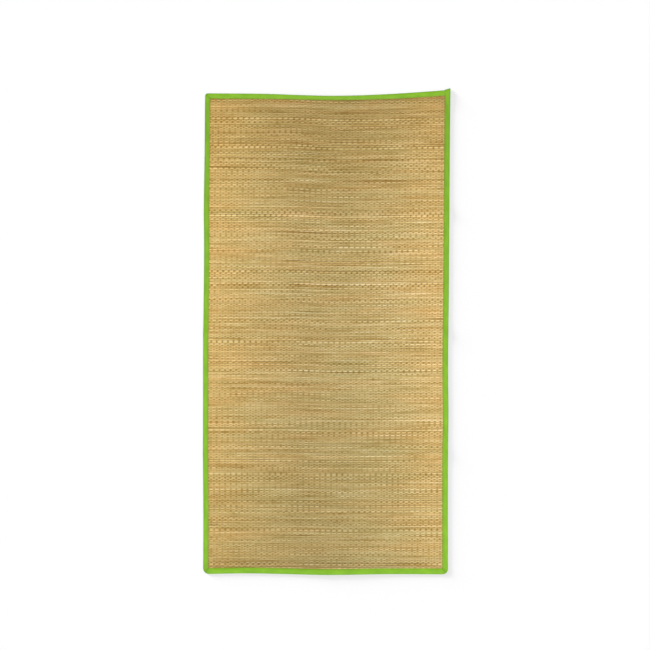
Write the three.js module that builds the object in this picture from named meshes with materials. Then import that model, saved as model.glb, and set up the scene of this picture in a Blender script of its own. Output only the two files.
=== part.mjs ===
// A straw beach mat, opened out flat on the ground: one woven straw panel whose raw edges are bound all
// round by one folded tape. Millimetres, +Z up, +Y along the mat's length. The origin is on the ground,
// under the middle of the mat's outline.
import * as THREE from "three";

const { clamp, degToRad, lerp, smoothstep } = THREE.MathUtils;

// ---------------------------------------------------------------------------------------------
// Driving dimensions
// ---------------------------------------------------------------------------------------------

// Cloth coordinates: p runs across the mat and q along it, both from the middle of the mat, as if the
// cloth were spread into a true rectangle. Its sides are the outer folds of the binding.
const MAT_WIDTH = 906;
const MAT_LENGTH = 1774;
const HALF_WIDTH = MAT_WIDTH / 2;
const HALF_LENGTH = MAT_LENGTH / 2;

// The straw panel, and how far its raw edge stays inside the outer fold of the binding.
const PANEL_THICKNESS = 2;
const PANEL_INSET = 2.1;

// The binding tape, folded in half over the panel's edge.
const TAPE_THICKNESS = 0.6;
const SEAM_GAP = 0.35;
const TAPE_STACK = TAPE_THICKNESS + SEAM_GAP;

// The width of tape that shows on each side of the mat. The tape wanders inwards at the middle of the
// top side, where it was sewn narrow.
const LEFT_LEG = 19;
const RIGHT_LEG = 20.5;
const BOTTOM_LEG = 21.5;
const TOP_LEG = 19.5;
const TOP_LEG_NARROWED_BY = 4;
const TOP_LEG_NARROW_REACH = 330;

// The radius in which the tape turns each corner. The tape starts and ends at the top right corner, so
// that one is square, and the tape's end stands past it as an ear with a slanting cut.
const TOP_LEFT_RADIUS = 11;
const BOTTOM_LEFT_RADIUS = 22;
const BOTTOM_RIGHT_RADIUS = 20;
const CORNER_STEPS = 5;
const LEG_CORNER_RADIUS = 3;
const EAR_HIGH_SIDE = 5.6;
const EAR_LOW_SIDE = 1.6;
const EAR_LEG_ROOM = 0.3;
const TUCKED_END_INSET = 3;

// At the top right corner the tape's end is lapped over its start, so the end's two legs stand off by
// one more thickness of tape, over this length of the right side.
const LAP_REACH = 60;

// The panel's rim lies on the lower leg of the tape, and comes down to the ground inside it.
const RIM_INSET = 24;
const RIM_REACH = 36;

// The four sides as they really lie. Left and right give x at stations along the cloth, top and bottom
// give y at stations across it.
const LEFT_SIDE = [
  { q: -887, x: -456.6 },
  { q: -680, x: -455.9 },
  { q: -443, x: -457.3 },
  { q: -250, x: -456.9 },
  { q: -20, x: -456.5 },
  { q: 110, x: -454.9 },
  { q: 330, x: -453.2 },
  { q: 443, x: -454.1 },
  { q: 665, x: -451.3 },
  { q: 887, x: -449.4 },
];
const RIGHT_SIDE = [
  { q: -887, x: 448.1 },
  { q: -625, x: 447.8 },
  { q: -443, x: 448.4 },
  { q: -299, x: 450 },
  { q: -166, x: 448.8 },
  { q: 0, x: 449.5 },
  { q: 110, x: 451.1 },
  { q: 330, x: 452.8 },
  { q: 665, x: 455 },
  { q: 887, x: 457.3 },
];
const BOTTOM_SIDE = [
  { p: -453, y: -896.2 },
  { p: -300, y: -893.4 },
  { p: -150, y: -896 },
  { p: 0, y: -899.1 },
  { p: 220, y: -896.4 },
  { p: 453, y: -897 },
];
const TOP_SIDE = [
  { p: -453, y: 881 },
  { p: -220, y: 878.2 },
  { p: -90, y: 873.2 },
  { p: 0, y: 870.8 },
  { p: 90, y: 872 },
  { p: 220, y: 877.8 },
  { p: 340, y: 885.4 },
  { p: 453, y: 893.5 },
];

// The mat is stored folded in four across its length. Each old fold stands up as a low ridge, lower in
// the middle of the mat than at its sides.
const CROSS_FOLDS = [
  { q: -443, rise: 2.5, reach: 46 },
  { q: 0, rise: 3, reach: 50 },
  { q: 443, rise: 2.8, reach: 48 },
];
const FOLD_SHARE_IN_MIDDLE = 0.35;

// It is doubled lengthwise too, which leaves a fainter ridge along the middle.
const LONG_FOLD = { rise: 1, reach: 50 };

// The ends of the mat curl off the ground around the long fold.
const END_CURLS = [
  { end: 1, p: -40, rise: 5, halfWidth: 330, depth: 120 },
  { end: -1, p: 60, rise: 2, halfWidth: 260, depth: 100 },
];

// Stations of the mesh. Fold stations are in shares of a fold's reach, and no gap is over the last two.
const CROSS_FOLD_STATIONS = [-1, -0.6, -0.3, 0, 0.3, 0.6, 1];
const LONG_FOLD_STATIONS = [-1, -0.5, 0, 0.5, 1];
const RIM_STATIONS = [RIM_INSET, RIM_INSET + RIM_REACH / 2, RIM_INSET + RIM_REACH];
const LONGEST_STEP_ALONG = 70;
const LONGEST_STEP_ACROSS = 70;

const STRAW_FINISH = { color: 0xc0a56a, roughness: 0.6, metalness: 0 };
const TAPE_FINISH = { color: 0x8bbc3a, roughness: 0.7, metalness: 0 };

// ---------------------------------------------------------------------------------------------
// Where the cloth lies
// ---------------------------------------------------------------------------------------------

// A smooth line through a table: column `value` as a function of column `key`.
function smoothLine(table, key, value) {
  const keys = table.map((row) => row[key]);
  const values = table.map((row) => row[value]);
  const line = new THREE.CubicInterpolant(keys, values, 1);
  return (at) => line.evaluate(clamp(at, keys[0], keys.at(-1)))[0];
}

const leftX = smoothLine(LEFT_SIDE, "q", "x");
const rightX = smoothLine(RIGHT_SIDE, "q", "x");
const bottomY = smoothLine(BOTTOM_SIDE, "p", "y");
const topY = smoothLine(TOP_SIDE, "p", "y");

// A ridge with a creased crest and feet that run out flat: (1 - t)^2 for t from 0 to 1.
function ridge(distance, { rise, reach }) {
  return rise * (1 - clamp(Math.abs(distance) / reach, 0, 1)) ** 2;
}

// A low dome from -1 to 1: (1 - t^2)^2.
function dome(t) {
  return (1 - clamp(Math.abs(t), 0, 1) ** 2) ** 2;
}

// How much more room the lapped tape takes on each face, near the top end of the right side.
function lapRoom(p, q) {
  const fromRight = HALF_WIDTH - p;
  const fromTop = HALF_LENGTH - q;
  const along = 1 - smoothstep(fromTop, RIGHT_LEG, LAP_REACH + RIGHT_LEG);
  const across = 1 - smoothstep(fromRight, RIM_INSET, RIM_INSET + RIM_REACH);
  return TAPE_STACK * along * across;
}

// The height of the panel's underside over the ground, at cloth coordinates p and q.
function underside(p, q) {
  const inset = Math.min(HALF_WIDTH - Math.abs(p), HALF_LENGTH - Math.abs(q));
  const rim = TAPE_STACK * (1 - smoothstep(inset, RIM_INSET, RIM_INSET + RIM_REACH));
  const share = lerp(FOLD_SHARE_IN_MIDDLE, 1, (p / HALF_WIDTH) ** 2);
  const crossFolds = CROSS_FOLDS.reduce((sum, fold) => sum + share * ridge(q - fold.q, fold), 0);
  const curls = END_CURLS.reduce((sum, curl) => {
    const fromEnd = HALF_LENGTH - curl.end * q;
    return sum + ridge(Math.max(fromEnd, 0), { rise: curl.rise, reach: curl.depth })
      * dome((p - curl.p) / curl.halfWidth);
  }, 0);
  return rim + crossFolds + ridge(p, LONG_FOLD) + curls + lapRoom(p, q);
}

// A point of the mat: cloth coordinates p and q, and a height h over the panel's underside.
function place(p, q, h) {
  const x = lerp(leftX(q), rightX(q), p / MAT_WIDTH + 0.5);
  const y = lerp(bottomY(p), topY(p), q / MAT_LENGTH + 0.5);
  return new THREE.Vector3(x, y, underside(p, q) + h);
}

// ---------------------------------------------------------------------------------------------
// Stations
// ---------------------------------------------------------------------------------------------

// Sorted stations with no doubles, and with every gap cut into equal steps no longer than `longest`.
function fillIn(stations, longest) {
  const sorted = [...new Set(stations)].sort((a, b) => a - b);
  const filled = [sorted[0]];
  for (let i = 1; i < sorted.length; i++) {
    const steps = Math.ceil((sorted[i] - sorted[i - 1]) / longest);
    for (let k = 1; k <= steps; k++) {
      filled.push(lerp(sorted[i - 1], sorted[i], k / steps));
    }
  }
  return filled;
}

// Rows along the mat and columns across it, between the rim stations, shared by the panel and the tape.
const foldRows = CROSS_FOLDS.flatMap((fold) => CROSS_FOLD_STATIONS.map((t) => fold.q + t * fold.reach));
const rimRows = RIM_STATIONS.flatMap((inset) => [inset - HALF_LENGTH, HALF_LENGTH - inset]);
const rimColumns = RIM_STATIONS.flatMap((inset) => [inset - HALF_WIDTH, HALF_WIDTH - inset]);
const longFoldColumns = LONG_FOLD_STATIONS.map((t) => t * LONG_FOLD.reach);
const ROWS = fillIn([...foldRows, ...rimRows], LONGEST_STEP_ALONG);
const COLUMNS = fillIn([...longFoldColumns, ...rimColumns], LONGEST_STEP_ACROSS);

// ---------------------------------------------------------------------------------------------
// Solids
// ---------------------------------------------------------------------------------------------

// A closed solid from rings of points: ring i joins ring i + 1, and the first and last are capped.
// `cap` lists the triangles that close one ring, wound as seen from the last ring's outside.
function solidFromRings(rings, cap) {
  const count = rings[0].length;
  const positions = rings.flatMap((ring) => ring.flatMap((point) => point.toArray()));
  const index = [];
  for (let i = 0; i + 1 < rings.length; i++) {
    for (let k = 0; k < count; k++) {
      const next = (k + 1) % count;
      const a = i * count + k;
      const b = i * count + next;
      const c = (i + 1) * count + next;
      const d = (i + 1) * count + k;
      index.push(a, b, c, a, c, d);
    }
  }
  const last = (rings.length - 1) * count;
  for (const [a, b, c] of cap) {
    index.push(last + a, last + b, last + c);
    index.push(a, c, b);
  }
  const geometry = new THREE.BufferGeometry();
  geometry.setAttribute("position", new THREE.Float32BufferAttribute(positions, 3));
  geometry.setIndex(index);
  return geometry;
}

// How far a round corner cuts into a row of the panel that is `fromEnd` from the outer fold of an end.
function cornerCut(radius, fromEnd) {
  const short = Math.max(radius - fromEnd, 0);
  return radius - Math.sqrt(radius ** 2 - short ** 2);
}

// The rows of the panel in a corner zone, given as distances from the outer fold of that end.
function cornerRows(radius) {
  const own = radius - PANEL_INSET;
  return Array.from({ length: CORNER_STEPS + 1 }, (_, k) => {
    const turn = (k / CORNER_STEPS) * (Math.PI / 2);
    return PANEL_INSET + own * (1 - Math.cos(turn));
  });
}

// The panel: each row is a ring, over the top of the cloth from left to right and back underneath.
function strawPanel() {
  const bottomRows = cornerRows(BOTTOM_LEFT_RADIUS).map((fromEnd) => fromEnd - HALF_LENGTH);
  const topRows = cornerRows(TOP_LEFT_RADIUS).map((fromEnd) => HALF_LENGTH - fromEnd);
  const rows = [...bottomRows, ...ROWS, ...topRows.reverse()];
  const rings = rows.map((q) => {
    const fromEnd = HALF_LENGTH - Math.abs(q) - PANEL_INSET;
    const leftRadius = (q < 0 ? BOTTOM_LEFT_RADIUS : TOP_LEFT_RADIUS) - PANEL_INSET;
    const rightRadius = q < 0 ? BOTTOM_RIGHT_RADIUS - PANEL_INSET : 0;
    const left = PANEL_INSET + cornerCut(leftRadius, fromEnd) - HALF_WIDTH;
    const right = HALF_WIDTH - PANEL_INSET - cornerCut(rightRadius, fromEnd);
    const columns = [left, ...COLUMNS, right];
    const over = columns.map((p) => place(p, q, PANEL_THICKNESS));
    const under = columns.map((p) => place(p, q, 0));
    return [...over, ...under.reverse()];
  });
  const across = COLUMNS.length + 2;
  const cap = [];
  for (let k = 0; k + 1 < across; k++) {
    const below = 2 * across - 1 - k;
    cap.push([k, k + 1, below]);
    cap.push([k + 1, below - 1, below]);
  }
  return solidFromRings(rings, cap);
}

// The section of the folded tape, as [distance from the outer fold, height over the panel's middle].
// `half` is half the room between the legs, and `leg` the width that the tape covers.
function tapeSection(leg, half) {
  const outer = half + TAPE_THICKNESS;
  const fold = (radius, turn) => [outer - radius * Math.cos(turn), radius * Math.sin(turn)];
  const outerTurns = [-90, -60, -25, 25, 60, 90];
  const innerTurns = [90, 45, 0, -45, -90];
  return [
    [leg, -outer],
    ...outerTurns.map((turn) => fold(outer, degToRad(turn))),
    [leg, outer],
    [leg, half],
    ...innerTurns.map((turn) => fold(half, degToRad(turn))),
    [leg, -half],
  ];
}

// The triangles that close the section, between its outer line (0 to 7) and its inner line (8 to 14).
const SECTION_CAP = [
  [0, 1, 14], [1, 13, 14], [1, 2, 13], [2, 12, 13], [2, 3, 12], [3, 11, 12], [3, 4, 11],
  [4, 10, 11], [4, 5, 10], [5, 9, 10], [5, 6, 9], [6, 8, 9], [6, 7, 8],
];

// One station of the tape: the outer fold and the inner edge of its legs, in cloth coordinates.
function tapeStation(outer, inner, room) {
  const leg = Math.hypot(inner.p - outer.p, inner.q - outer.q);
  return tapeSection(leg, room).map(([inwards, height]) => {
    const share = inwards / leg;
    const p = lerp(outer.p, inner.p, share);
    const q = lerp(outer.q, inner.q, share);
    return place(p, q, PANEL_THICKNESS / 2 + height);
  });
}

const LEG_ROOM = PANEL_THICKNESS / 2 + SEAM_GAP;

function topLeg(p) {
  return TOP_LEG - TOP_LEG_NARROWED_BY * dome(p / TOP_LEG_NARROW_REACH);
}

// A round corner between two sides, given by the signs of p and q there and the widths of both legs.
// It runs from angle `from` to angle `to`, in degrees anticlockwise from +p.
function tapeCorner({ signP, signQ, radius, legP, legQ, from, to }) {
  return Array.from({ length: CORNER_STEPS + 1 }, (_, k) => {
    const turn = degToRad(lerp(from, to, k / CORNER_STEPS));
    const onArc = (insetP, insetQ, arcRadius) => ({
      p: signP * (HALF_WIDTH - insetP - arcRadius) + arcRadius * Math.cos(turn),
      q: signQ * (HALF_LENGTH - insetQ - arcRadius) + arcRadius * Math.sin(turn),
    });
    return tapeStation(onArc(0, 0, radius), onArc(legP, legQ, LEG_CORNER_RADIUS), LEG_ROOM);
  });
}

// The binding: one strip from the ear, down the right side and round to the end tucked under the ear.
function edgeBinding() {
  const right = (q) => [{ p: HALF_WIDTH, q }, { p: HALF_WIDTH - RIGHT_LEG, q }];
  const bottom = (p) => [{ p, q: -HALF_LENGTH }, { p, q: BOTTOM_LEG - HALF_LENGTH }];
  const left = (q) => [{ p: -HALF_WIDTH, q }, { p: LEFT_LEG - HALF_WIDTH, q }];
  const top = (p) => [{ p, q: HALF_LENGTH }, { p, q: HALF_LENGTH - topLeg(p) }];
  const straight = ([outer, inner]) => tapeStation(outer, inner, LEG_ROOM);
  const lapped = (q) => {
    const [outer, inner] = right(q);
    return tapeStation(outer, inner, LEG_ROOM + lapRoom(HALF_WIDTH, q));
  };
  const ear = [1, 0.5].map((share) => {
    const [outer, inner] = right(HALF_LENGTH);
    outer.q += EAR_HIGH_SIDE * share;
    inner.q += EAR_LOW_SIDE * share;
    return tapeStation(outer, inner, lerp(LEG_ROOM + TAPE_STACK, EAR_LEG_ROOM, share));
  });
  const downwards = [...ROWS].reverse();
  const leftwards = [...COLUMNS].reverse();
  const rings = [
    ...ear,
    ...[HALF_LENGTH, HALF_LENGTH - RIM_INSET / 2, ...downwards].map(lapped),
    ...tapeCorner({
      signP: 1, signQ: -1, radius: BOTTOM_RIGHT_RADIUS, legP: RIGHT_LEG, legQ: BOTTOM_LEG, from: 0, to: -90,
    }),
    ...leftwards.map((p) => straight(bottom(p))),
    ...tapeCorner({
      signP: -1, signQ: -1, radius: BOTTOM_LEFT_RADIUS, legP: LEFT_LEG, legQ: BOTTOM_LEG, from: -90, to: -180,
    }),
    ...ROWS.map((q) => straight(left(q))),
    ...tapeCorner({
      signP: -1, signQ: 1, radius: TOP_LEFT_RADIUS, legP: LEFT_LEG, legQ: TOP_LEG, from: 180, to: 90,
    }),
    ...COLUMNS.map((p) => straight(top(p))),
    straight(top(HALF_WIDTH - TUCKED_END_INSET)),
  ];
  return solidFromRings(rings, SECTION_CAP);
}

// ---------------------------------------------------------------------------------------------
// The mat
// ---------------------------------------------------------------------------------------------

function piece(name, geometry, finish) {
  const mesh = new THREE.Mesh(geometry, new THREE.MeshStandardMaterial(finish));
  mesh.name = name;
  return mesh;
}

const mat = new THREE.Group();
mat.add(piece("straw_panel", strawPanel(), STRAW_FINISH));
mat.add(piece("edge_binding", edgeBinding(), TAPE_FINISH));

export default mat;
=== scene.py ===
# %% [markdown]
# # A straw beach mat
#
# This lesson dresses a straw beach mat that lies open on the ground. The real mat has four kinds of
# parts: several hundred straws that lie across it, thin strings that run along it and hold the straws by
# passing over one and under the next, a green tape folded over all four edges, and the thread that sews
# the tape down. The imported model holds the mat's true size and the height at which every part of it lies,
# as two plain solids. Here each straw, string and stitch is made as a small closed tube, because on this
# mat the weave is the surface: a flat sheet with a picture of a weave would look wrong from low down.

import bpy
import numpy as np
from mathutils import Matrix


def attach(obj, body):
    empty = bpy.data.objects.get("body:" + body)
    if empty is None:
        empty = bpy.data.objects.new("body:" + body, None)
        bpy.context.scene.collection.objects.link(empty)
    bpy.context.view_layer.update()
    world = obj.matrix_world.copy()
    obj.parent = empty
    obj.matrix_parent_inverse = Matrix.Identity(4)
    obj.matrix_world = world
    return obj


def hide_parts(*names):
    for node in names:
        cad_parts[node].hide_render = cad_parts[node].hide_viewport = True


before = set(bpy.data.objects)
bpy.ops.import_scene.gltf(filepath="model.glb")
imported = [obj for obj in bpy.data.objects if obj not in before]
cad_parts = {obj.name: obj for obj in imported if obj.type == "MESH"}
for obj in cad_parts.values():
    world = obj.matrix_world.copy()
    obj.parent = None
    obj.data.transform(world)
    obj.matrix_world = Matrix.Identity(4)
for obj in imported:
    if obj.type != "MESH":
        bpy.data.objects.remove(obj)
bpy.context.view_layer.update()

MM = 0.001

# %% [markdown]
# ## The camera
#
# The mat is looked at from straight above, so the camera hangs over it and looks down. A camera far away
# with a long lens shows the mat with almost no perspective, as a catalogue picture does. The lens follows
# from the width of ground that the picture takes in: the sensor's width is to the focal length as that
# width is to the camera's height.

# %% Camera
CAMERA_X, CAMERA_Y, CAMERA_HEIGHT = -0.0063, 0.0246, 6.0
WIDTH_IN_VIEW = 2.4035
SENSOR_WIDTH = 36.0

camera_data = bpy.data.cameras.new("overhead")
camera_data.sensor_width = SENSOR_WIDTH
camera_data.lens = SENSOR_WIDTH * CAMERA_HEIGHT / WIDTH_IN_VIEW
camera = bpy.data.objects.new("overhead", camera_data)
camera.location = (CAMERA_X, CAMERA_Y, CAMERA_HEIGHT)
bpy.context.scene.collection.objects.link(camera)
bpy.context.scene.camera = camera
print("camera lens", round(camera_data.lens, 1), "mm")

# %% [markdown]
# ## How the mat lies
#
# Woven cloth is easiest to describe in its own coordinates: p runs across the mat and q along it, as if it
# were spread into a true rectangle. One function then says where each point of the cloth really lies. Every
# straw, string and stitch goes through it, so they all share the wandering sides, the low ridges of the old
# folds and the curled ends, and none of them can drift away from its neighbours. The sizes are those of the
# solids, in metres.

# %% Sizes of the mat and of its sides
MAT_WIDTH = 0.906
MAT_LENGTH = 1.774
HALF_WIDTH = MAT_WIDTH / 2
HALF_LENGTH = MAT_LENGTH / 2
PANEL_THICKNESS = 2 * MM
TAPE_THICKNESS = 0.6 * MM
TAPE_STACK = 0.95 * MM
LEFT_LEG, RIGHT_LEG, BOTTOM_LEG, TOP_LEG = 19 * MM, 20.5 * MM, 21.5 * MM, 19.5 * MM
TOP_LEG_NARROWED_BY, TOP_LEG_NARROW_REACH = 4 * MM, 0.33
RIM_INSET, RIM_REACH = 24 * MM, 36 * MM
LAP_REACH = 60 * MM

# Each side is a table of (station along the side, place of the side there), in millimetres.
LEFT_SIDE = [
    (-887, -456.6), (-680, -455.9), (-443, -457.3), (-250, -456.9), (-20, -456.5),
    (110, -454.9), (330, -453.2), (443, -454.1), (665, -451.3), (887, -449.4),
]
RIGHT_SIDE = [
    (-887, 448.1), (-625, 447.8), (-443, 448.4), (-299, 450), (-166, 448.8),
    (0, 449.5), (110, 451.1), (330, 452.8), (665, 455), (887, 457.3),
]
BOTTOM_SIDE = [(-453, -896.2), (-300, -893.4), (-150, -896), (0, -899.1), (220, -896.4), (453, -897)]
TOP_SIDE = [
    (-453, 881), (-220, 878.2), (-90, 873.2), (0, 870.8), (90, 872), (220, 877.8), (340, 885.4), (453, 893.5),
]


def smooth_line(table):
    """A smooth line through a table of stations and values.

    Between two rows it is the cubic h00 v0 + h10 w m0 + h01 v1 + h11 w m1, where w is the width of the
    step, s runs from 0 to 1 over it, h00 = 2s^3 - 3s^2 + 1, h10 = s^3 - 2s^2 + s, h01 = -2s^3 + 3s^2,
    h11 = s^3 - s^2, and m0 and m1 are the slopes at the rows.
    """
    stations, values = np.array(table).T * MM
    slopes = np.gradient(values, stations)

    def line(at):
        i = np.clip(np.searchsorted(stations, at) - 1, 0, len(stations) - 2)
        width = stations[i + 1] - stations[i]
        s = np.clip((at - stations[i]) / width, 0, 1)
        return (
            (2 * s**3 - 3 * s**2 + 1) * values[i]
            + (s**3 - 2 * s**2 + s) * width * slopes[i]
            + (3 * s**2 - 2 * s**3) * values[i + 1]
            + (s**3 - s**2) * width * slopes[i + 1]
        )

    return line


left_x, right_x = smooth_line(LEFT_SIDE), smooth_line(RIGHT_SIDE)
bottom_y, top_y = smooth_line(BOTTOM_SIDE), smooth_line(TOP_SIDE)
print("the top side dips", round(1000 * (top_y(-0.4) - top_y(0.0)), 1), "mm at its middle")


# %% Ridges, curls and the height of the cloth
# The three cross folds as (station, rise, reach), and the curled ends as (end, middle, rise, half width,
# depth), all in millimetres.
CROSS_FOLDS = [(-443, 2.5, 46), (0, 3, 50), (443, 2.8, 48)]
FOLD_SHARE_IN_MIDDLE = 0.35
LONG_FOLD_RISE, LONG_FOLD_REACH = 1 * MM, 50 * MM
END_CURLS = [(1, -40, 5, 330, 120), (-1, 60, 2, 260, 100)]


def ridge(distance, rise, reach):
    """A ridge with a creased crest: rise (1 - |d| / reach)^2, and 0 beyond the reach."""
    return rise * (1 - np.clip(np.abs(distance) / reach, 0, 1)) ** 2


def dome(t):
    """A low dome: (1 - t^2)^2 from -1 to 1, and 0 outside."""
    return (1 - np.clip(np.abs(t), 0, 1) ** 2) ** 2


def smoothstep(t):
    """3 t^2 - 2 t^3, with t held between 0 and 1."""
    t = np.clip(t, 0, 1)
    return t * t * (3 - 2 * t)


def lap_room(p, q):
    """The extra room of the lapped tape: one tape stack, fading with distance from the top right corner."""
    along = 1 - smoothstep((HALF_LENGTH - q - RIGHT_LEG) / LAP_REACH)
    across = 1 - smoothstep((HALF_WIDTH - p - RIM_INSET) / RIM_REACH)
    return TAPE_STACK * along * across


def underside(p, q):
    """The height of the cloth's underside: the rim on its tape, plus the folds, the curls and the lap."""
    inset = np.minimum(HALF_WIDTH - np.abs(p), HALF_LENGTH - np.abs(q))
    height = TAPE_STACK * (1 - smoothstep((inset - RIM_INSET) / RIM_REACH)) + lap_room(p, q)
    share = FOLD_SHARE_IN_MIDDLE + (1 - FOLD_SHARE_IN_MIDDLE) * (p / HALF_WIDTH) ** 2
    for station, rise, reach in CROSS_FOLDS:
        height = height + share * ridge(q - station * MM, rise * MM, reach * MM)
    for end, middle, rise, half_width, depth in END_CURLS:
        from_end = np.maximum(HALF_LENGTH - end * q, 0)
        height = height + ridge(from_end, rise * MM, depth * MM) * dome((p - middle * MM) / (half_width * MM))
    return height + ridge(p, LONG_FOLD_RISE, LONG_FOLD_REACH)


def place(p, q, h):
    """The point that lies h over the underside of the cloth at (p, q), as arrays of x, y, z.

    x = left(q) + (right(q) - left(q)) (p / W + 1/2), y = bottom(p) + (top(p) - bottom(p)) (q / L + 1/2).
    """
    p, q, h = np.broadcast_arrays(p, q, h)
    x = left_x(q) + (right_x(q) - left_x(q)) * (p / MAT_WIDTH + 0.5)
    y = bottom_y(p) + (top_y(p) - bottom_y(p)) * (q / MAT_LENGTH + 0.5)
    return np.stack([x, y, underside(p, q) + h], -1)


def cloth_q(p, y):
    """The q at which the cloth column p reaches y: the second line of place, turned round."""
    return MAT_LENGTH * ((y - bottom_y(p)) / (top_y(p) - bottom_y(p)) - 0.5)


print("the cloth rises to", round(1000 * float(underside(np.array(-0.04), np.array(HALF_LENGTH))), 1), "mm")

# %% [markdown]
# ## Turning tubes into a mesh
#
# A straw, a string and a stitch are all closed tubes: rings of a few corners along a path, joined by
# four-sided faces and capped at both ends. Most have under ten corners to a ring, so Blender's curve tools
# would be slower and heavier than numpy. One helper takes a list of such tubes, each an array of
# (rings, corners, 3), and makes one mesh of them all. It also unrolls every tube into its own strip of a UV
# map, and stores plain numbers on the vertices that the materials read, such as which straw it is.


# %% From a list of tubes to one piece
def tube_faces(rings, around):
    """The faces of a tube whose vertices are stacked ring by ring: side faces, then the two caps."""
    first = np.arange(rings - 1)[:, None] * around
    k = np.arange(around)[None, :]
    after = (k + 1) % around
    sides = np.stack([first + k, first + after, first + around + after, first + around + k], -1)
    caps = np.stack([np.arange(around)[::-1], np.arange(around) + (rings - 1) * around])
    return sides.reshape(-1, 4), caps


def tube_map(rings, around, first_cell, bands, grid):
    """Where the corners of those faces lie on the map: u along the tube and v around it.

    The map is a grid of cells. A tube is cut into as many bands as it is given, and each has its own cell,
    u = (column + 0.006 + 0.99 s) / columns and v = (row + 0.04 + 0.92 t) / rows, with s and t from 0 to 1.
    """
    columns, rows = grid
    i, k = np.arange(rings - 1)[:, None], np.arange(around)[None, :]
    length = -(-(rings - 1) // bands)
    cell = first_cell + i // length

    def corner(ring_in_band, step):
        u = (cell % columns + 0.006 + 0.99 * ring_in_band / length) / columns
        v = (cell // columns + 0.04 + 0.92 * step / around) / rows
        return np.stack(np.broadcast_arrays(u, v), -1)

    here = i % length
    sides = np.stack([corner(here, k), corner(here, k + 1), corner(here + 1, k + 1), corner(here + 1, k)], 2)
    turn = 2 * np.pi * np.arange(around) / around
    cap_u = (first_cell % columns + 0.003 + 0.002 * np.cos(turn)) / columns
    caps = [
        np.stack([cap_u, (first_cell // columns + middle + 0.15 * np.sin(turn)) / rows], -1)
        for middle in (0.3, 0.7)
    ]
    return sides.reshape(-1, 2), np.concatenate(caps)


def piece_from_tubes(name, tubes, numbers, bands=1, columns=1):
    """One closed mesh from many tubes. `numbers` maps an attribute's name to one array for each tube.

    `bands` is how many cells of the map a tube takes, and `columns` how many cells lie side by side.
    """
    around = tubes[0].shape[1]
    grid = (columns, -(-len(tubes) * bands // columns))
    sides, caps, side_uv, cap_uv, start = [], [], [], [], 0
    for number, tube in enumerate(tubes):
        tube_sides, tube_caps = tube_faces(len(tube), around)
        tube_side_uv, tube_cap_uv = tube_map(len(tube), around, number * bands, bands, grid)
        sides.append(tube_sides + start)
        caps.append(tube_caps + start)
        side_uv.append(tube_side_uv)
        cap_uv.append(tube_cap_uv)
        start += len(tube) * around
    sides, caps = np.concatenate(sides), np.concatenate(caps)
    corners = np.concatenate([sides.ravel(), caps.ravel()])
    counts = np.concatenate([np.full(len(sides), 4), np.full(len(caps), around)])
    mesh = bpy.data.meshes.new(name)
    mesh.vertices.add(start)
    points = np.concatenate([tube.reshape(-1, 3) for tube in tubes])
    mesh.vertices.foreach_set("co", points.astype(np.float32).ravel())
    mesh.loops.add(len(corners))
    mesh.loops.foreach_set("vertex_index", corners.astype(np.int32))
    mesh.polygons.add(len(counts))
    mesh.polygons.foreach_set("loop_start", np.concatenate([[0], np.cumsum(counts)[:-1]]).astype(np.int32))
    mesh.polygons.foreach_set("use_smooth", np.arange(len(counts)) < len(sides))
    mesh.update(calc_edges=True)
    layer = mesh.uv_layers.new(name="OFBake")
    layer.uv.foreach_set("vector", np.concatenate(side_uv + cap_uv).astype(np.float32).ravel())
    for key, arrays in numbers.items():
        values = np.concatenate([np.broadcast_to(a, t.shape[:2]).ravel() for a, t in zip(arrays, tubes)])
        mesh.attributes.new(key, "FLOAT", "POINT").data.foreach_set("value", values.astype(np.float32))
    piece = bpy.data.objects.new(name, mesh)
    bpy.context.scene.collection.objects.link(piece)
    print(name, "has", len(tubes), "tubes and", int((counts - 2).sum()), "triangles")
    return piece


# %% [markdown]
# ## The rows of straw
#
# Straws grow as they like, so no two are equally wide. The weaver lays one wide straw, or two thin ones side
# by side, into each opening of the strings, which makes one pick, and beats it against the last. The rows
# therefore lie at uneven steps. They run level from the left, sag a few millimetres over the middle where
# the mat was doubled, and come part of the way back on the right. The tape was sewn on straight across the
# top, so the last rows run out under it and only their ends show.

# %% Where each row lies
rng = np.random.default_rng(7)
STRING_STEP = 10.33 * MM
STRINGS_EACH_SIDE = 43
STRAW_STEP, STRAW_STEP_SPREAD = 4.8 * MM, 0.3
PICKS_DRAWN = 420
PAIRED_SHARE, PAIRED_WIDTH = 0.35, 0.66
FIRST_ROW, LAST_ROW = -0.8925, 0.889
EDGE_CLEARANCE = 3.4 * MM
TRIM = 1.3 * MM
FEWEST_RINGS = 5
CORNER_RADIUS = {"top left": 11 * MM, "bottom left": 22 * MM, "bottom right": 20 * MM}


def sag(p, y):
    """How far a row lies below its left end: d1 S((p + 0.17) / 0.22) - d2 S((p - 0.09) / 0.36).

    S is the smoothstep. From the foot of the mat to its head, d1 grows from 2.5 mm to 8 mm and d2 from 2 mm
    to 6 mm.
    """
    towards_head = np.clip((y + HALF_LENGTH) / MAT_LENGTH, 0, 1)
    drop = (2.5 + 5.5 * towards_head) * MM
    back = (2 + 4 * towards_head) * MM
    return drop * smoothstep((p + 0.17) / 0.22) - back * smoothstep((p - 0.09) / 0.36)


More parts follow.
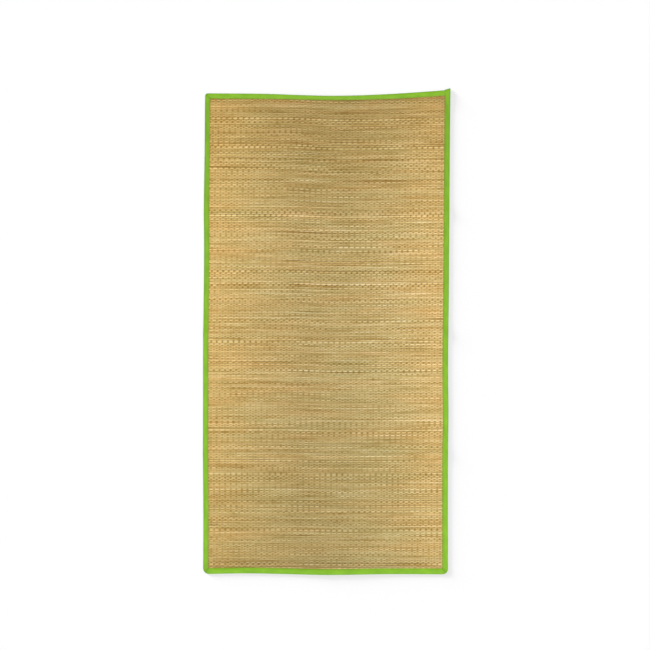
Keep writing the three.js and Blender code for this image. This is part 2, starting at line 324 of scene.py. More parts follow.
paired = rng.random(PICKS_DRAWN) < PAIRED_SHARE
pick_steps = STRAW_STEP * np.exp(rng.normal(0, STRAW_STEP_SPREAD, len(paired)))
row_pick = np.repeat(np.arange(len(paired)), 1 + paired)
row_paired = paired[row_pick]
thin_width = PAIRED_WIDTH * rng.uniform(0.8, 1.2, len(row_pick))
row_steps = pick_steps[row_pick] * np.where(row_paired, thin_width, 1)
row_y = FIRST_ROW + np.concatenate([[0], np.cumsum((row_steps[1:] + row_steps[:-1]) / 2)])
row_count = int((row_y < LAST_ROW).sum())
row_y, row_steps, row_pick, row_paired = (a[:row_count] for a in (row_y, row_steps, row_pick, row_paired))
print(row_count, "rows of straw, about", round(1000 * float(np.diff(row_y).mean()), 2), "mm apart")


def row_line(p, y):
    """The y of the row with left end y at column p."""
    return y - sag(p, y)


def edge_inset(p, y):
    """How far inside the rounded outline the point (p, y) lies.

    With a = |p| - W/2 + r and b = |q| - L/2 + r, the inset is
    r - min(max(a, b), 0) - |(max(a, 0), max(b, 0))|, where r is the radius of the nearest corner.
    """
    q = cloth_q(p, y)
    low = np.where(p < 0, CORNER_RADIUS["bottom left"], CORNER_RADIUS["bottom right"])
    radius = np.where(q < 0, low, np.where(p < 0, CORNER_RADIUS["top left"], 0))
    a, b = np.abs(p) - HALF_WIDTH + radius, np.abs(q) - HALF_LENGTH + radius
    return radius - np.minimum(np.maximum(a, b), 0) - np.hypot(np.maximum(a, 0), np.maximum(b, 0))


def runs_inside(p, y):
    """The stretches of stations p where the row at y is inside, as pairs of first and last.

    A stretch too short to show past the tape is left out.
    """
    inside = (edge_inset(p, row_line(p, y)) > EDGE_CLEARANCE).astype(int)
    edges = np.flatnonzero(np.diff(np.concatenate([[0], inside, [0]])))
    return [(first, last) for first, last in edges.reshape(-1, 2) if last - first >= FEWEST_RINGS]


# %% [markdown]
# ## One straw
#
# A straw is a hollow reed that the loom has pressed flat, so its section is a lens: two edges, a top and a
# bottom. Along its length it waves: it rides up over one string and is pulled down and pinched by the next.
# It is high over every other string and low under the ones between, and the straws of the next pick have
# their crests where this one has its dips. The straw is widest on its crests, where nothing holds it. Two
# rings at each string are enough: they make a long flat pad of each crest and a short groove of each dip.

# %% Sizes, tones and stations of a straw
STRAW_LIFT = 0.37 * MM
STRAW_HALF_THICKNESS = 0.56 * MM
WEAVE_MIDDLE = 1.02 * MM
CREST_HALF_LENGTH, DIP_HALF_LENGTH = 0.3 * STRING_STEP, 0.12 * STRING_STEP
FULLNESS, SINGLE_BULGE, PAIRED_BULGE = 1.12, 0.2, 0.06
PAD_TONE, PAD_TONE_SPREAD = 0.05, 0.22
TONE_PLACES = 8
WHOLE_STRAW_TONE, PLACE_TONE = 0.7, 1.05
NEIGHBOUR_SHADE = 0.5
BEAD_TONE = 0.55
LEAST_GRIP, MOST_GRIP, LEAST_LIFT = 0.4, 1.1, 0.5
GRIP_WANDER, LINE_WANDER, WIDTH_WANDER, PAD_WANDER = 0.5, 0.25 * MM, 0.1, 1.2
string_columns = np.arange(-STRINGS_EACH_SIDE, STRINGS_EACH_SIDE + 1)
tone_stations = np.linspace(-HALF_WIDTH, HALF_WIDTH, TONE_PLACES)

# A row's tone is its own less half the mean of its neighbours', as painted shade: a row beside light rows is
# darker, as if they stood proud and shaded it, so that light rows stand beside dark ones.
row_pad = rng.normal(PAD_TONE, PAD_TONE_SPREAD, row_count)
straw_tone = rng.normal(0, WHOLE_STRAW_TONE, (row_count, 1))
own_tone = straw_tone + rng.normal(0, PLACE_TONE, (row_count, TONE_PLACES))
row_tone = own_tone - NEIGHBOUR_SHADE * (np.roll(own_tone, 1, 0) + np.roll(own_tone, -1, 0)) / 2
row_grip = rng.uniform(LEAST_GRIP, MOST_GRIP, row_count)
print("a straw crosses", len(string_columns), "strings")


def wander(p, size):
    """A slow random wave along a straw: size times the mean of four sines of random pitch and phase."""
    pitch = rng.uniform(3, 40, 4)[:, None]
    phase = rng.uniform(0, 2 * np.pi, 4)[:, None]
    return size * np.sin(pitch * p[None, :] + phase).mean(0)


def straw_stations(pick):
    """Stations along a straw: two at each string, c apart from it on a crest and d apart in a dip.

    c and d are the half lengths of a crest and of a dip. The stations come with
    w = cos(pi column + pi pick), which is 1 where the straw rides over the string, else -1.
    """
    over = np.cos(np.pi * (string_columns + pick))
    reach = np.where(over > 0, CREST_HALF_LENGTH, DIP_HALF_LENGTH)
    p = string_columns[:, None] * STRING_STEP + reach[:, None] * np.array([-1, 1])
    return p.ravel(), np.repeat(over, 2)


# %% [markdown]
# ## Wear, stains and painted shade
#
# A mat that has been lain on is worn pale in some places and stained brown in others, and a painted shadow
# darkens the straw where it meets the left and the top tape. None of this belongs to one straw: it lies on
# the mat, and each straw adds the tone of the place that it passes to its own.

# %% Tone of a place
# Broad worn and stained places as (p, y, reach across, reach along, change of tone).
STAINS = [
    (0.07, 0.62, 0.22, 0.30, -0.65), (0.30, 0.86, 0.30, 0.12, -0.55), (0.29, 0.66, 0.12, 0.10, 0.7),
    (0.24, 0.17, 0.16, 0.13, 0.6), (0.28, -0.44, 0.28, 0.09, -0.55), (-0.30, 0.38, 0.14, 0.40, 0.4),
]
# The painted shadow beside the left and the top tape: its depth at the tape's edge, and how far in it fades.
TAPE_SHADE, TAPE_SHADE_REACH = 1.4, 9 * MM


def stain(p, y):
    """How much lighter or darker the worn and stained places are: the sum of tone times dome(distance)."""
    return sum(
        tone * dome(np.hypot((p - middle_p) / reach_p, (y - middle_y) / reach_y))
        for middle_p, middle_y, reach_p, reach_y, tone in STAINS
    )


def tape_shade(p, q):
    """The painted shadow along the left and the top tape: full at its edge, and none 9 mm from it."""
    from_left = HALF_WIDTH + p - LEFT_LEG
    from_top = HALF_LENGTH - q - TOP_LEG + TOP_LEG_NARROWED_BY * dome(p / TOP_LEG_NARROW_REACH)
    return TAPE_SHADE * np.clip(1 - np.minimum(from_left, from_top) / TAPE_SHADE_REACH, 0, 1)


print("the mat has", len(STAINS), "broad worn or stained places")


# %% One straw as a tube
def straw(p, over, row):
    """Rings of one straw at stations p, and the dip and the tone of each ring.

    g is the grip of the strings on this straw, mostly 0.4 to 1.1. The middle of a ring is at height
    m + g a w, with g held to 0.5 to 1.1. Its half width is (step / 2) (f + g b w), or less where the outline
    is nearer, and its half thickness t (1 + 0.1 w) sqrt(step / usual step). Slow waves are added to the grip,
    the line and the width. The dip is min(g, 1) (1 - w) / 2, as seen from above. The tone is that of the row
    and of the place, plus one for the pads and one for each two rings. Positive is lighter.
    """
    grip = row_grip[row] * (1 + wander(p, GRIP_WANDER))
    y = row_line(p, row_y[row]) + wander(p, LINE_WANDER)
    bulge = PAIRED_BULGE if row_paired[row] else SINGLE_BULGE
    half_width = row_steps[row] / 2 * (FULLNESS + bulge * grip * over + wander(p, WIDTH_WANDER))
    half_width = np.minimum(half_width, edge_inset(p, y) - TRIM)
    thick = STRAW_HALF_THICKNESS * (1 + 0.1 * over) * (row_steps[row] / STRAW_STEP) ** 0.5
    middle = WEAVE_MIDDLE + STRAW_LIFT * over * np.clip(grip, LEAST_LIFT, MOST_GRIP)
    q = cloth_q(p, y)
    base = place(p, q, middle)
    across = np.zeros((len(p), 4, 3))
    across[:, 0, 1], across[:, 2, 1] = -half_width, half_width
    across[:, 1, 2], across[:, 3, 2] = -thick, thick
    dip = ((0.5 - 0.5 * over) * np.minimum(grip, 1))[:, None]
    pad = (row_pad[row] * over * (1 + wander(p, PAD_WANDER)))[:, None]
    bead = np.repeat(rng.normal(0, BEAD_TONE, len(p) // 2 + 1), 2)[:len(p), None]
    # The tone of the place, less the painted shadow beside the left and the top tape.
    broad = np.interp(p, tone_stations, row_tone[row]) + stain(p, y) - tape_shade(p, q)
    tone = broad[:, None] + pad + bead
    return base[:, None, :] + across, dip, tone


# %% [markdown]
# ## Four pieces of straw
#
# The straws are one woven sheet, but as one mesh they would be too heavy to handle. The mat was stored folded
# in four, so the old folds are the natural places to part it. A row runs out under the top tape where that
# tape dips, so some rows give two tubes.

# %% Straw pieces, one between each two old folds
panel_names = ["straws_foot", "straws_lower", "straws_upper", "straws_head"]
OLD_FOLDS = np.array([-0.4435, 0, 0.4435])
panel_rows = {name: [] for name in panel_names}
for row in range(row_count):
    panel_rows[panel_names[int(np.searchsorted(OLD_FOLDS, row_y[row]))]].append(row)

straw_pieces = []
for name, rows in panel_rows.items():
    tubes, dips, ids, tones = [], [], [], []
    for row in rows:
        p, over = straw_stations(row_pick[row])
        for first, last in runs_inside(p, row_y[row]):
            tube, dip, tone = straw(p[first:last], over[first:last], row)
            tubes.append(tube)
            dips.append(dip)
            tones.append(tone)
            ids.append(np.full((1, 1), row))
    straw_pieces.append(piece_from_tubes(name, tubes, {"dip": dips, "straw": ids, "tone": tones}))

# %% [markdown]
# ## The strings
#
# The strings are the warp of the loom. Each one goes under a straw on its crest and over the next straw in
# its dip, so its wave is the straws' wave turned over. A ring at every row is enough, with three corners,
# because a string is under a millimetre thick and shows only for a few millimetres at a time.

# %% String tubes
STRING_RADIUS = 0.42 * MM
STRING_LIFT = 0.62 * MM
STRING_CORNERS = 3


def string(column):
    """Rings of one string: at each row its height is m - a cos(pi column + pi pick)."""
    p = column * STRING_STEP
    y = row_line(p, row_y)
    inside = edge_inset(p, y) > EDGE_CLEARANCE
    y = y[inside]
    over = np.cos(np.pi * (column + row_pick[inside]))
    spine = place(np.full(len(y), p), cloth_q(p, y), WEAVE_MIDDLE - STRING_LIFT * over)
    turn = 2 * np.pi * np.arange(STRING_CORNERS) / STRING_CORNERS + np.pi / 3
    ring = STRING_RADIUS * np.stack([np.sin(turn), 0 * turn, np.cos(turn)], -1)
    return spine[:, None, :] + ring[None, :, :]


string_halves = {
    "strings_left": string_columns[:STRINGS_EACH_SIDE],
    "strings_right": string_columns[STRINGS_EACH_SIDE:],
}
string_pieces = []
for name, columns in string_halves.items():
    string_pieces.append(piece_from_tubes(name, [string(column) for column in columns], {}))

# %% [markdown]
# ## The binding tape
#
# One tape is folded in half over the raw edge and sewn on in a single round. It starts at the top right
# corner, goes along the top, round the top left, bottom left and bottom right corners, and comes back up
# the right side, where its end laps over its start and stands past the top edge as a small ear. It is a
# section carried along a path: the path is the outer fold, the section is a narrow U, and at each corner
# the outer fold turns a small arc while the inner edge of the tape turns almost on the spot.

# %% The path of the tape, as its outer fold and its inner edge
TAPE_STEP = 4 * MM
LEG_CORNER_RADIUS = 3 * MM
EAR_HIGH_SIDE, EAR_LOW_SIDE = 5.6 * MM, 1.6 * MM
TUCKED_END_INSET = 3 * MM
LEG_ROOM = 1.35 * MM
EAR_LEG_ROOM = 0.3 * MM
CORNER_INSET = 26 * MM
CORNER_STATIONS = 13
EAR_STATIONS = 3


def stretch(start, end):
    """Stations from start to end, a tape step apart or a little less."""
    return np.linspace(start, end, int(np.ceil(abs(end - start) / TAPE_STEP)) + 1)


def corner_arc(sign_p, sign_q, radius, legs, angles):
    """Outer and inner points round a corner: arcs of `radius` and of the small leg radius."""
    turn = np.radians(np.linspace(*angles, CORNER_STATIONS))

    def arc(inset_p, inset_q, arc_radius):
        p = sign_p * (HALF_WIDTH - inset_p - arc_radius) + arc_radius * np.cos(turn)
        q = sign_q * (HALF_LENGTH - inset_q - arc_radius) + arc_radius * np.sin(turn)
        return np.stack([p, q], -1)

    return arc(0, 0, radius), arc(legs[0], legs[1], LEG_CORNER_RADIUS)


def along_side(fixed_outer, fixed_inner, moving, across):
    """Outer and inner points along a straight side. `across` is 0 where p is the fixed one, else 1."""
    def line(fixed):
        pair = [np.broadcast_to(fixed, moving.shape), moving]
        return np.stack(pair if across == 0 else pair[::-1], -1)

    return line(fixed_outer), line(fixed_inner)


side_q = stretch(CORNER_INSET - HALF_LENGTH, HALF_LENGTH - CORNER_INSET)
side_p = stretch(CORNER_INSET - HALF_WIDTH, HALF_WIDTH - CORNER_INSET)
lap_q = stretch(HALF_LENGTH, HALF_LENGTH - CORNER_INSET)[:-1]
end_p = stretch(HALF_WIDTH - CORNER_INSET, HALF_WIDTH - TUCKED_END_INSET)[1:]
top_p = np.concatenate([side_p, end_p])
top_leg = TOP_LEG - TOP_LEG_NARROWED_BY * dome(top_p / TOP_LEG_NARROW_REACH)
ear_share = np.linspace(1, 0, EAR_STATIONS + 1)[:-1]
ear_outer = np.stack([0 * ear_share + HALF_WIDTH, HALF_LENGTH + EAR_HIGH_SIDE * ear_share], -1)
ear_inner = np.stack([0 * ear_share + HALF_WIDTH - RIGHT_LEG, HALF_LENGTH + EAR_LOW_SIDE * ear_share], -1)
sections = [
    (ear_outer, ear_inner),
    along_side(HALF_WIDTH, HALF_WIDTH - RIGHT_LEG, np.concatenate([lap_q, side_q[::-1]]), 0),
    corner_arc(1, -1, CORNER_RADIUS["bottom right"], (RIGHT_LEG, BOTTOM_LEG), (0, -90)),
    along_side(-HALF_LENGTH, BOTTOM_LEG - HALF_LENGTH, side_p[::-1], 1),
    corner_arc(-1, -1, CORNER_RADIUS["bottom left"], (LEFT_LEG, BOTTOM_LEG), (-90, -180)),
    along_side(-HALF_WIDTH, LEFT_LEG - HALF_WIDTH, side_q, 0),
    corner_arc(-1, 1, CORNER_RADIUS["top left"], (LEFT_LEG, TOP_LEG), (180, 90)),
    along_side(HALF_LENGTH, HALF_LENGTH - top_leg, top_p, 1),
]
tape_outer = np.concatenate([outer for outer, inner in sections])
tape_inner = np.concatenate([inner for outer, inner in sections])
tape_steps = np.linalg.norm(np.diff((tape_outer + tape_inner) / 2, axis=0), axis=1)
tape_along = np.concatenate([[0], np.cumsum(tape_steps)])
on_right = tape_outer[:, 0] > HALF_WIDTH - 1e-6
tape_room = LEG_ROOM + np.where(on_right, lap_room(HALF_WIDTH, tape_outer[:, 1]), 0)
tape_room[:EAR_STATIONS] = LEG_ROOM + TAPE_STACK + (EAR_LEG_ROOM - LEG_ROOM - TAPE_STACK) * ear_share
print("the tape is", round(float(tape_along[-1]), 2), "m long, with", len(tape_along), "sections")

# %% [markdown]
# ## The surface of the tape
#
# A thin tape shows what it is sewn to. It swells a little between the fold and the seam, is pulled down
# along the stitches, thins to its woven edge, and ripples over the straws. At a rounded corner there is more
# tape than room, so the spare is laid in one flat tuck. All of this is added to the height of the section's
# outer line, so that it is real shape and catches the light from every side. Round each corner, most in the
# crease behind the tuck, the tape is painted darker, as shade.

# %% Tucks at the rounded corners
# The tuck's height and its painted shade, at the stations round a corner.
TUCK_SHAPE = np.array([0, 0, 0, 0.12, 0.25, 0.4, -0.15, 0, 0, 0, 0, 0, 0]) * MM
TUCK_SHADE = np.array([0, 0.1, 0.25, 0.4, 0.5, 0.6, 1, 0.75, 0.55, 0.4, 0.25, 0.1, 0])
ROUNDED_CORNERS = (2, 4, 6)
tucks = [np.zeros((len(outer), 2)) for outer, inner in sections]
for corner_number in ROUNDED_CORNERS:
    tucks[corner_number] = np.stack([TUCK_SHAPE, TUCK_SHADE], -1)
tape_tuck, tape_shade_at = np.concatenate(tucks).T
print("the tape has", len(ROUNDED_CORNERS), "tucks,", round(1000 * float(tape_tuck.max()), 2), "mm high")


# %% Tape section and piece
# The seam is the third station from the tape's edge.
SEAM_INSET = 2.6 * MM
SEAM_STATION = 2
edge_stations = np.array([0, 1.2 * MM, SEAM_INSET, 4.2 * MM])
leg_shares = np.array([0.4, 0.6, 0.8, 0.92])
inside_shares = np.array([0, 0.5, 0.86])
fold_turns = np.radians([62, 30, 0, -30, -62])


def tape_pull(inwards, leg):
    """How far the stitches pull the tape in: 0.4 mm exp(-((leg - a - seam) / 1.2 mm)^2)."""
    return 0.4 * MM * np.exp(-(((leg - inwards - SEAM_INSET) / (1.2 * MM)) ** 2))


def edge_thinning(inwards, leg):
    """How much thinner the woven edge of the tape is: 0.3 mm at the edge, and none 1 mm from it."""
    return 0.3 * MM * np.clip(1 - (leg - inwards) / (1 * MM), 0, 1)


def leg_droop(from_edge):
    """How far the seam presses the tape down on the straws: 0.3 mm at its edge, fading over 7 mm."""
    return 0.3 * MM * smoothstep(1 - from_edge / (7 * MM))


def tape_swell(inwards, leg, along):
    """How far the tape stands off its flat place: 0.35 mm sin(pi a / leg), and a ripple of three sines."""
    swell = 0.35 * MM * np.sin(np.pi * np.clip(inwards / leg, 0, 1))
    ripple = 0.05 * MM * (np.sin(along * 410) + np.sin(along * 173 + 1) + np.sin(along * 67 + 2))
    return swell + ripple * np.clip(inwards / (4 * MM), 0, 1)


# The section goes over the upper leg, round the fold and under the lower leg, then back along the inside.
# Here a is the distance in from the fold, and h the height over the middle of the cloth.
leg_width = np.linalg.norm(tape_inner - tape_outer, axis=1)[:, None]
outer_height = tape_room[:, None] + TAPE_THICKNESS
over_a = np.concatenate([leg_width - edge_stations, leg_width * (1 - leg_shares)], 1)
seam_pull = tape_pull(over_a, leg_width) + edge_thinning(over_a, leg_width)
over_h = outer_height + tape_swell(over_a, leg_width, tape_along[:, None]) - seam_pull
over_h = over_h - leg_droop(leg_width - over_a) + tape_tuck[:, None]
fold_a = outer_height * (1 - np.cos(fold_turns)[None, :]) + 0 * leg_width
fold_h = outer_height * np.sin(fold_turns)[None, :]
in_a = leg_width * (1 - inside_shares)[None, :]
in_h = tape_room[:, None] - leg_droop(leg_width - in_a)
turn_a = TAPE_THICKNESS + tape_room[:, None] * (1 - np.cos(fold_turns[1:4]))[None, :]
turn_h = tape_room[:, None] * np.sin(fold_turns[1:4])[None, :]
under_h = seam_pull - outer_height
section_a = np.concatenate([over_a, fold_a, over_a[:, ::-1], in_a, turn_a[:, ::-1], in_a[:, ::-1]], 1)
section_h = np.concatenate([over_h, fold_h, under_h[:, ::-1], -in_h, turn_h[:, ::-1], in_h[:, ::-1]], 1)
share = (section_a / leg_width)[..., None]
section_pq = tape_outer[:, None, :] * (1 - share) + tape_inner[:, None, :] * share
tape_rings = place(section_pq[..., 0], section_pq[..., 1], PANEL_THICKNESS / 2 + section_h)
tape_rings = tape_rings[:, ::-1]
tape = piece_from_tubes("binding_tape", [tape_rings], {
    "along": [np.broadcast_to(tape_along[:, None], tape_rings.shape[:2])],
    "inwards": [(section_a / leg_width)[:, ::-1]],
    "crease": [np.broadcast_to(tape_shade_at[:, None], tape_rings.shape[:2])],
}, bands=12)

# %% [markdown]
# ## The stitches
#
# The tape is held by one row of lock stitches a few millimetres inside its inner edge, seen on both faces. A
# stitch is a short arch of thread whose ends dive into the tape. The row is laid out by length along the seam
# itself, so that the stitches are as far apart round a corner as on the straight, and each one follows the
# face of the tape up and down. The row skips the last millimetres at each end of the tape.

# %% Stitch tubes
STITCH_STEP = 4.6 * MM
STITCH_LENGTH = 3.7 * MM
THREAD_CORNERS = 4
THREAD_RADIUS = 0.26 * MM
SEAM_END = 6 * MM
seam_line = tape_inner + (tape_outer - tape_inner) * SEAM_INSET / leg_width
seam_steps = np.linalg.norm(np.diff(seam_line, axis=0), axis=1)
seam_along = np.concatenate([[0], np.cumsum(seam_steps)])
seam_starts = np.arange(SEAM_END, seam_along[-1] - SEAM_END, STITCH_STEP)


def seam_point(at, side):
    """Where the seam has run the length `at`: the cloth point (p, q) and the height of the tape's face."""
    p, q = (np.interp(at, seam_along, seam_line[:, k]) for k in (0, 1))
    face = (over_h if side > 0 else under_h)[:, SEAM_STATION]
    return p, q, np.interp(at, seam_along, face)


def stitches(side):
    """Arches of thread on the upper (side 1) or lower (side -1) face, as an array of many short tubes.

    At t from 0 to 1 along a stitch its middle stands 0.5 sin(pi t) - 0.26 mm out of the face, and its
    radius is r (0.55 + 0.45 sin(pi t)).
    """
    t = np.array([0.0, 0.3, 0.7, 1.0])
    at = seam_starts[:, None] + STITCH_LENGTH * t[None, :]
    p, q, face = seam_point(at, side)
    rise = (0.5 * np.sin(np.pi * t) - 0.26) * MM
    spine = place(p, q, PANEL_THICKNESS / 2 + face + side * rise)
    along = np.gradient(spine, axis=1)
    along = along / np.linalg.norm(along, axis=-1, keepdims=True)
    aside = np.cross(along, [0, 0, 1.0])
    aside = aside / np.linalg.norm(aside, axis=-1, keepdims=True)
    upward = np.cross(aside, along)
    turn = 2 * np.pi * np.arange(THREAD_CORNERS) / THREAD_CORNERS
    radius = THREAD_RADIUS * (0.55 + 0.45 * np.sin(np.pi * t))[None, :, None, None]
    around = np.sin(turn)[:, None] * aside[:, :, None, :] + np.cos(turn)[:, None] * upward[:, :, None, :]
    return spine[:, :, None, :] + radius * around


thread_tubes = list(stitches(1)) + list(stitches(-1))
thread = piece_from_tubes("binding_thread", thread_tubes, {}, columns=40)

# %% [markdown]
# ## Small helpers for materials
#
# A material in Blender is a graph of nodes. Building one in Python takes a line for each node and each wire,
# so short helpers keep it readable: one adds any node and fills its sockets, and others add the nodes used
# most. Colours are written as they look, from 0 to 255, and turned into the linear values that light is
# reckoned in. A tint is a colour that multiplies another, and may go past 1.


# %% Material helpers
def linear(red, green, blue):
    """A colour of 0 to 255 as linear light: ((c / 255 + 0.055) / 1.055)^2.4, or c / 255 / 12.92 if dark."""
    c = np.array([red, green, blue]) / 255
    return (*np.where(c > 0.04045, ((c + 0.055) / 1.055) ** 2.4, c / 12.92).tolist(), 1.0)


def add(tree, kind, sockets=None, out=0, **settings):
    """A new node with its settings and sockets filled, by value or by wire. Gives back one output socket."""
    node = tree.nodes.new(kind)
    for key, value in settings.items():
        setattr(node, key, value)
    for key, value in (sockets or {}).items():
        if isinstance(value, bpy.types.NodeSocket):
            tree.links.new(value, node.inputs[key])
        else:
            node.inputs[key].default_value = value
    return node.outputs[out]


def maths(tree, operation, *values):
    """A Math node with its inputs in order."""
    return add(tree, "ShaderNodeMath", dict(enumerate(values)), operation=operation)


def attribute(tree, name):
    """The number that the mesh's vertices carry under this name."""
    return add(tree, "ShaderNodeAttribute", attribute_name=name, out="Fac")


def split(tree, vector):
    """The x, the y and the z of a vector."""
    node = tree.nodes.new("ShaderNodeSeparateXYZ")
    tree.links.new(vector, node.inputs["Vector"])
    return node.outputs["X"], node.outputs["Y"], node.outputs["Z"]


def scaled(tree, value, factor):
    """A value times a factor."""
    return maths(tree, "MULTIPLY", value, factor)


def share_of_span(tree, value, span):
    """Where a coordinate lies on a span that is centred on 0, from 0 to 1."""
    return maths(tree, "MULTIPLY_ADD", value, 1 / span, 0.5)


def noise(tree, x, y, z=0.0, detail=2.0, roughness=0.5):
    """Smooth noise about 0.5 at the point (x, y, z), one feature to each unit."""
    point = add(tree, "ShaderNodeCombineXYZ", {"X": x, "Y": y, "Z": z})
    sockets = {"Vector": point, "Scale": 1.0, "Detail": detail, "Roughness": roughness}
    return add(tree, "ShaderNodeTexNoise", sockets)


def ramp(tree, factor, stops):
    """A colour for each factor from 0 to 1, through the (place, colour) stops."""
    node = tree.nodes.new("ShaderNodeValToRGB")
    elements = node.color_ramp.elements
    while len(elements) < len(stops):
        elements.new(1.0)
    for element, (at, colour) in zip(elements, stops):
        element.position = at
        element.color = colour
    tree.links.new(factor, node.inputs["Fac"])
    return node.outputs["Color"]


def blend(tree, kind, factor, a, b):
    """Colour a with colour b laid over it in the given way, as far as factor says."""
    node = tree.nodes.new("ShaderNodeMix")
    node.data_type, node.blend_type = "RGBA", kind
    for index, value in ((0, factor), (6, a), (7, b)):
        if isinstance(value, bpy.types.NodeSocket):
            tree.links.new(value, node.inputs[index])
        else:
            node.inputs[index].default_value = value
    return node.outputs[2]


def tint(tree, colour, factor, stops, share=1.0):
    """The colour multiplied by a ramp of (place, tint) stops, as far as share says."""
    return blend(tree, "MULTIPLY", share, colour, ramp(tree, factor, stops))


def brighten_slantwise(tree, colour, x, y, slant, level):
    """The colour times level + slant x y: one pair of opposite corners is brighter than the other."""
    factor = maths(tree, "MULTIPLY_ADD", maths(tree, "MULTIPLY", x, y), slant, level)
    return add(tree, "ShaderNodeVectorMath", {0: colour, "Scale": factor}, operation="SCALE")


def new_material(name, roughness, specular):
    """A material with a Principled shader, as (material, its tree, the shader)."""
    material = bpy.data.materials.new(name)
    material.use_nodes = True
    shader = material.node_tree.nodes["Principled BSDF"]
    shader.inputs["Roughness"].default_value = roughness
    shader.inputs["Specular IOR Level"].default_value = specular
    return material, material.node_tree, shader


# %% [markdown]
# ## The look of the straw
#
# Dried straw runs from pale gold to reddish brown. One straw keeps much the same colour for a hand's length
# and then changes, where it was in the shade of its neighbours, so its colour comes from a noise that is
# long along the straw and starts afresh for each one. The sides of the mat are brighter and more golden than
# its middle, partly as the straw's own colour and partly as painted sheen. Its foot and head are darker.

# %% Straw colour
TONE_STEP = 0.101
NOISE_REACH = 1.35
SPAN_ACROSS, SPAN_ALONG = 0.92, 1.8

straw_material, tree, shader = new_material("straw", 0.55, 0.3)
x, y = split(tree, add(tree, "ShaderNodeTexCoord", out="Object"))[:2]
row_place = scaled(tree, attribute(tree, "straw"), 2.3)
long_noise = noise(tree, scaled(tree, x, 5.0), row_place, detail=4.0, roughness=0.65)
tone = maths(tree, "MULTIPLY_ADD", attribute(tree, "tone"), TONE_STEP, 0.5)
tone = maths(tree, "ADD", tone, maths(tree, "MULTIPLY_ADD", long_noise, NOISE_REACH, -NOISE_REACH / 2))
straw_colour = ramp(tree, tone, [
    (0.0, linear(156, 122, 50)),
    (0.25, linear(184, 154, 85)),
    (0.5, linear(205, 178, 112)),
    (0.75, linear(221, 196, 134)),
    (1.0, linear(232, 209, 152)),
])
# Painted sheen and the straw's own colour: brighter and more golden towards the sides, duller in the middle.
straw_colour = tint(tree, straw_colour, share_of_span(tree, x, SPAN_ACROSS), [
    (0.03, (1.15, 1.09, 1.03, 1)),
    (0.215, (0.98, 0.97, 0.98, 1)),
    (0.4, (0.86, 0.86, 0.89, 1)),
    (0.58, (0.88, 0.90, 0.95, 1)),
    (0.75, (0.99, 1.01, 1.09, 1)),
    (0.94, (1.20, 1.16, 1.21, 1)),
    (0.97, (1.12, 1.10, 1.10, 1)),
])
straw_colour = tint(tree, straw_colour, share_of_span(tree, y, SPAN_ALONG), [
    (0.015, (0.84, 0.85, 0.85, 1)),
    (0.04, (0.93, 0.95, 0.955, 1)),
    (0.2, (0.97, 0.98, 0.985, 1)),
    (0.38, (1.05, 1.06, 1.10, 1)),
    (0.6, (1.06, 1.06, 1.085, 1)),
    (0.75, (1.035, 1.035, 1.04, 1)),
    (0.88, (0.915, 0.885, 0.81, 1)),
    (1.0, (0.83, 0.78, 0.675, 1)),
])
straw_colour = brighten_slantwise(tree, straw_colour, x, y, -0.13, 1.126)
patch_noise = noise(tree, scaled(tree, x, 2.5), scaled(tree, y, 22.0), 3.0, detail=5.0, roughness=0.72)
straw_colour = tint(tree, straw_colour, patch_noise, [
    (0.25, (1.095, 0.97, 0.91, 1)),
    (0.5, (1.0, 1.0, 1.0, 1)),
    (0.75, (0.925, 1.02, 1.06, 1)),
])
print("the straw's colour has", len(tree.nodes), "nodes")

# %% [markdown]
# ### Dips and fibres
#
# Where a string pinches a straw the dip is painted darker, partly as dirt and partly as painted shade. A
# straw that dips on its upper face has its pad on the lower one, so on faces that look down the number is
# turned round: the size of (1 - dip) there, and of (0 - dip) on the others. Fine fibres run along every
# straw, as colour and as bump.

# %% Straw dips and fibres
normal_z = split(tree, add(tree, "ShaderNodeNewGeometry", out="True Normal"))[2]
faces_down = maths(tree, "LESS_THAN", normal_z, 0.0)
dip = maths(tree, "ABSOLUTE", maths(tree, "SUBTRACT", faces_down, attribute(tree, "dip")))
dip = maths(tree, "POWER", dip, 3.0)
# The dips painted darker: partly dirt, partly painted shade.
straw_colour = blend(tree, "MULTIPLY", dip, straw_colour, linear(198, 182, 128))
fibre = noise(tree, scaled(tree, x, 60.0), scaled(tree, y, 2600.0), 1.0)
straw_colour = tint(tree, straw_colour, fibre, [
    (0.3, (0.75, 0.72, 0.68, 1)),
    (0.7, (1.15, 1.15, 1.15, 1)),
], share=0.25)
tree.links.new(straw_colour, shader.inputs["Base Color"])
bump = add(tree, "ShaderNodeBump", {"Height": fibre, "Strength": 0.5, "Distance": 0.15 * MM})
tree.links.new(bump, shader.inputs["Normal"])
for piece in straw_pieces:
    piece.data.materials.append(straw_material)
print(len(straw_pieces), "pieces have the straw material")

# %% [markdown]
# ## The look of the strings, the tape and the thread
#
# The strings and the thread are spun, so a fine twist shows as slanted bands round them. The tape is a plain
# woven binding with fine ribs across it. It is darker at its outer fold and brightest a little way in from
# it.
# Painted shade darkens it towards the head of the mat, makes it darker and more olive along the seam and the
# inner edge, where it steps down onto the straw, and darkens it round each corner, most behind each tuck.


# %% Spun materials
def spun_material(name, roughness, specular, bands, wobble, dark, light):
    """A material of slanted bands between two colours: `bands` is how fine they are, `wobble` how bent."""
    material, tree, shader = new_material(name, roughness, specular)
    point = add(tree, "ShaderNodeTexCoord", out="Object")
    sockets = {"Vector": point, "Scale": bands, "Distortion": wobble}
    strands = add(tree, "ShaderNodeTexWave", sockets, bands_direction="DIAGONAL")
    colour = ramp(tree, strands, [(0.0, linear(*dark)), (1.0, linear(*light))])
    tree.links.new(colour, shader.inputs["Base Color"])
    return material


